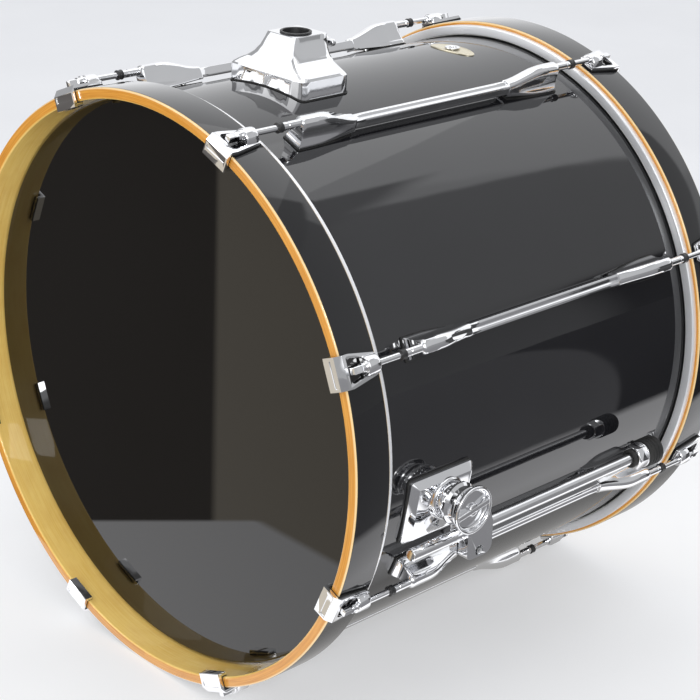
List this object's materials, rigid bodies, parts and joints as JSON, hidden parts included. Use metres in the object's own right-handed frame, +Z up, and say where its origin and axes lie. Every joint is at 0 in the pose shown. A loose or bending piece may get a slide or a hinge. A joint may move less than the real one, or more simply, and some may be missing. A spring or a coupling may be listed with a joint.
{
  "type": "bass drum",
  "caption": "Bass drum lying on its hoops, with claws and key rods, full-length lugs, folded spurs and a top tom mount.",
  "frame": {"origin": "on the floor under the middle of the drum, where the two hoops rest", "axes": "+X across the drum to the right seen from the front head, +Y along the drum's axis from the front head to the batter head, +Z up"},
  "size_m": [0.6412, 0.532, 0.6195],
  "materials": {
    "shell_lacquer": "polished black lacquer over plywood",
    "hoop_wood": "amber lacquered edges and bore, polished black outside",
    "front_film": "glossy black polyester film",
    "rear_film": "coated white polyester film",
    "flesh_alloy": "bright drawn",
    "chrome": "polished chrome plate",
    "steel": "zinc plated",
    "rubber": "matt black",
    "nylon": "moulded black",
    "badge_metal": "satin, blank"
  },
  "bodies": {
    "drum": {"shell": "shell_lacquer", "front_hoop": "hoop_wood", "rear_hoop": "hoop_wood", "front_head": "front_film", "rear_head": "rear_film", "front_flesh_hoop": "flesh_alloy", "rear_flesh_hoop": "flesh_alloy", "lugs": "chrome", "lug_gaskets": "rubber", "lug_screws": "steel", "lug_washers": "steel", "swivel_nuts": "steel", "front_claws": "chrome", "rear_claws": "chrome", "claw_pads": "rubber", "rod_washers": "nylon", "tom_mount_base": "chrome", "tom_mount_gasket": "rubber", "tom_mount_screws": "steel", "tom_socket_liner": "nylon", "badge": "badge_metal", "vent_grommet": "chrome", "spur_bolts": "steel", "spur_pivots": "steel", "right_spur_bracket": "chrome", "right_spur_gasket": "rubber", "left_spur_bracket": "chrome", "left_spur_gasket": "rubber"},
    "front_rod_1": {"front_rod_1": "chrome"},
    "front_rod_2": {"front_rod_2": "chrome"},
    "front_rod_3": {"front_rod_3": "chrome"},
    "front_rod_4": {"front_rod_4": "chrome"},
    "front_rod_5": {"front_rod_5": "chrome"},
    "front_rod_6": {"front_rod_6": "chrome"},
    "front_rod_7": {"front_rod_7": "chrome"},
    "front_rod_8": {"front_rod_8": "chrome"},
    "rear_rod_1": {"rear_rod_1": "chrome"},
    "rear_rod_2": {"rear_rod_2": "chrome"},
    "rear_rod_3": {"rear_rod_3": "chrome"},
    "rear_rod_4": {"rear_rod_4": "chrome"},
    "rear_rod_5": {"rear_rod_5": "chrome"},
    "rear_rod_6": {"rear_rod_6": "chrome"},
    "rear_rod_7": {"rear_rod_7": "chrome"},
    "rear_rod_8": {"rear_rod_8": "chrome"},
    "wing_bolt": {"tom_wing_bolt": "chrome"},
    "clamp_shoe": {"tom_clamp_shoe": "steel"},
    "right_spur": {"right_spur_clamp": "chrome"},
    "right_knob": {"right_spur_knob": "chrome"},
    "right_pinch": {"right_pinch_bolt": "steel"},
    "right_leg_tube": {"right_leg": "chrome", "right_spike": "steel"},
    "right_foot_tip": {"right_foot_collar": "chrome", "right_foot": "rubber"},
    "left_spur": {"left_spur_clamp": "chrome"},
    "left_knob": {"left_spur_knob": "chrome"},
    "left_pinch": {"left_pinch_bolt": "steel"},
    "left_leg_tube": {"left_leg": "chrome", "left_spike": "steel"},
    "left_foot_tip": {"left_foot_collar": "chrome", "left_foot": "rubber"}
  },
  "joints": [
    {"name": "front_rod_1_turn", "type": "hinge", "parent": "drum", "child": "front_rod_1", "pos_m": [0.115, -0.2, 0.57063], "axis": [0, 1, 0], "continuous": true},
    {"name": "front_rod_2_turn", "type": "hinge", "parent": "drum", "child": "front_rod_2", "pos_m": [0.27763, -0.2, 0.408], "axis": [0, 1, 0], "continuous": true},
    {"name": "front_rod_3_turn", "type": "hinge", "parent": "drum", "child": "front_rod_3", "pos_m": [0.27763, -0.2, 0.178], "axis": [0, 1, 0], "continuous": true},
    {"name": "front_rod_4_turn", "type": "hinge", "parent": "drum", "child": "front_rod_4", "pos_m": [0.115, -0.2, 0.01537], "axis": [0, 1, 0], "continuous": true},
    {"name": "front_rod_5_turn", "type": "hinge", "parent": "drum", "child": "front_rod_5", "pos_m": [-0.115, -0.2, 0.01537], "axis": [0, 1, 0], "continuous": true},
    {"name": "front_rod_6_turn", "type": "hinge", "parent": "drum", "child": "front_rod_6", "pos_m": [-0.27763, -0.2, 0.178], "axis": [0, 1, 0], "continuous": true},
    {"name": "front_rod_7_turn", "type": "hinge", "parent": "drum", "child": "front_rod_7", "pos_m": [-0.27763, -0.2, 0.408], "axis": [0, 1, 0], "continuous": true},
    {"name": "front_rod_8_turn", "type": "hinge", "parent": "drum", "child": "front_rod_8", "pos_m": [-0.115, -0.2, 0.57063], "axis": [0, 1, 0], "continuous": true},
    {"name": "rear_rod_1_turn", "type": "hinge", "parent": "drum", "child": "rear_rod_1", "pos_m": [0.115, 0.2, 0.57063], "axis": [0, 1, 0], "continuous": true},
    {"name": "rear_rod_2_turn", "type": "hinge", "parent": "drum", "child": "rear_rod_2", "pos_m": [0.27763, 0.2, 0.408], "axis": [0, 1, 0], "continuous": true},
    {"name": "rear_rod_3_turn", "type": "hinge", "parent": "drum", "child": "rear_rod_3", "pos_m": [0.27763, 0.2, 0.178], "axis": [0, 1, 0], "continuous": true},
    {"name": "rear_rod_4_turn", "type": "hinge", "parent": "drum", "child": "rear_rod_4", "pos_m": [0.115, 0.2, 0.01537], "axis": [0, 1, 0], "continuous": true},
    {"name": "rear_rod_5_turn", "type": "hinge", "parent": "drum", "child": "rear_rod_5", "pos_m": [-0.115, 0.2, 0.01537], "axis": [0, 1, 0], "continuous": true},
    {"name": "rear_rod_6_turn", "type": "hinge", "parent": "drum", "child": "rear_rod_6", "pos_m": [-0.27763, 0.2, 0.178], "axis": [0, 1, 0], "continuous": true},
    {"name": "rear_rod_7_turn", "type": "hinge", "parent": "drum", "child": "rear_rod_7", "pos_m": [-0.27763, 0.2, 0.408], "axis": [0, 1, 0], "continuous": true},
    {"name": "rear_rod_8_turn", "type": "hinge", "parent": "drum", "child": "rear_rod_8", "pos_m": [-0.115, 0.2, 0.57063], "axis": [0, 1, 0], "continuous": true},
    {"name": "wing_bolt_turn", "type": "hinge", "parent": "drum", "child": "wing_bolt", "pos_m": [0, -0.044, 0.605], "axis": [0, 1, 0], "range_deg": [0, 720]},
    {"name": "clamp_shoe_slide", "type": "slide", "parent": "drum", "child": "clamp_shoe", "axis": [0, 1, 0], "range_m": [0, 0.0021]},
    {"name": "right_spur_swivel", "type": "hinge", "parent": "drum", "child": "right_spur", "pos_m": [0.3, -0.139, 0.256], "axis": [-1, 0, 0], "range_deg": [0, 125]},
    {"name": "right_knob_turn", "type": "hinge", "parent": "right_spur", "child": "right_knob", "pos_m": [0.316, -0.139, 0.256], "axis": [1, 0, 0], "continuous": true},
    {"name": "right_pinch_turn", "type": "hinge", "parent": "right_spur", "child": "right_pinch", "pos_m": [0.305, -0.12, 0.2065], "axis": [1, 0, 0], "continuous": true},
    {"name": "right_leg_slide", "type": "slide", "parent": "right_spur", "child": "right_leg_tube", "axis": [0, 1, 0], "range_m": [-0.08, 0.01]},
    {"name": "right_foot_slide", "type": "slide", "parent": "right_leg_tube", "child": "right_foot_tip", "axis": [0, 1, 0], "range_m": [-0.012, 0]},
    {"name": "left_spur_swivel", "type": "hinge", "parent": "drum", "child": "left_spur", "pos_m": [-0.3, -0.139, 0.256], "axis": [-1, 0, 0], "range_deg": [0, 125]},
    {"name": "left_knob_turn", "type": "hinge", "parent": "left_spur", "child": "left_knob", "pos_m": [-0.316, -0.139, 0.256], "axis": [-1, 0, 0], "continuous": true},
    {"name": "left_pinch_turn", "type": "hinge", "parent": "left_spur", "child": "left_pinch", "pos_m": [-0.305, -0.12, 0.2065], "axis": [-1, 0, 0], "continuous": true},
    {"name": "left_leg_slide", "type": "slide", "parent": "left_spur", "child": "left_leg_tube", "axis": [0, 1, 0], "range_m": [-0.08, 0.01]},
    {"name": "left_foot_slide", "type": "slide", "parent": "left_leg_tube", "child": "left_foot_tip", "axis": [0, 1, 0], "range_m": [-0.012, 0]}
  ],
  "couplings": [
    {"joint": "clamp_shoe_slide", "follows": "wing_bolt_turn", "m_per_rad": 0.00015915}
  ]
}
